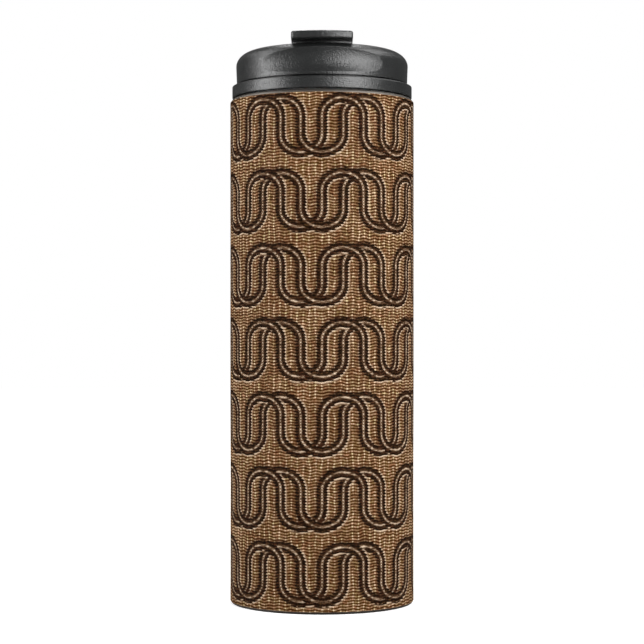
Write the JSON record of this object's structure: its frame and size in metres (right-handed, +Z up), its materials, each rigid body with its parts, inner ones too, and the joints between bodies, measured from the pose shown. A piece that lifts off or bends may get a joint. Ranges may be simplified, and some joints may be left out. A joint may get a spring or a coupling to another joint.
{
  "type": "vacuum flask",
  "caption": "Double-wall steel vacuum tumbler with a woven-look printed coating and a screw-in plug lid whose flip lever opens a drinking spout.",
  "frame": {"origin": "centre of the base, on the plane the flask stands on", "axes": "+Z up along the flask's axis; the lever's lip and the thumb scoop face -Y; +X is to the right seen from the front"},
  "size_m": [0.07, 0.07, 0.2134],
  "materials": {
    "shell_steel": "satin",
    "liner_steel": "satin",
    "printed_coating": "satin",
    "black_plastic": "satin",
    "silicone": "matte",
    "foam": "matte",
    "copper": "satin",
    "solder_glass": "gloss",
    "pin_steel": "polished",
    "getter_metal": "matte"
  },
  "bodies": {
    "vessel": {"outer_tube": "shell_steel", "outer_bottom": "shell_steel", "base_cover": "shell_steel", "vacuum_seal": "solder_glass", "printed_wrap": "printed_coating", "inner_tube": "liner_steel", "liner_bottom": "liner_steel", "radiation_foil": "copper", "getter_holder": "getter_metal", "getter_pellet": "getter_metal"},
    "seal": {"lid_seal": "silicone"},
    "lid": {"lid_base": "black_plastic", "lid_foam": "foam", "cover_gasket": "silicone", "channel_gasket": "silicone", "lid_cover": "black_plastic", "hinge_pin": "pin_steel"},
    "lever": {"lever": "black_plastic", "spout_stopper": "silicone", "vent_stopper": "silicone"}
  },
  "joints": [
    {"name": "lid_rise", "type": "slide", "parent": "vessel", "child": "seal", "axis": [0, 0, 1], "range_m": [0, 0.0241]},
    {"name": "lid_turn", "type": "hinge", "parent": "seal", "child": "lid", "pos_m": [0, 0, 0.1964], "axis": [0, 0, 1], "range_deg": [0, 1080]},
    {"name": "lever_flip", "type": "hinge", "parent": "lid", "child": "lever", "pos_m": [0, 0.002, 0.2102], "axis": [-1, 0, 0], "range_deg": [0, 172]}
  ],
  "couplings": [
    {"joint": "lid_rise", "follows": "lid_turn", "m_per_rad": 0.0012732}
  ]
}
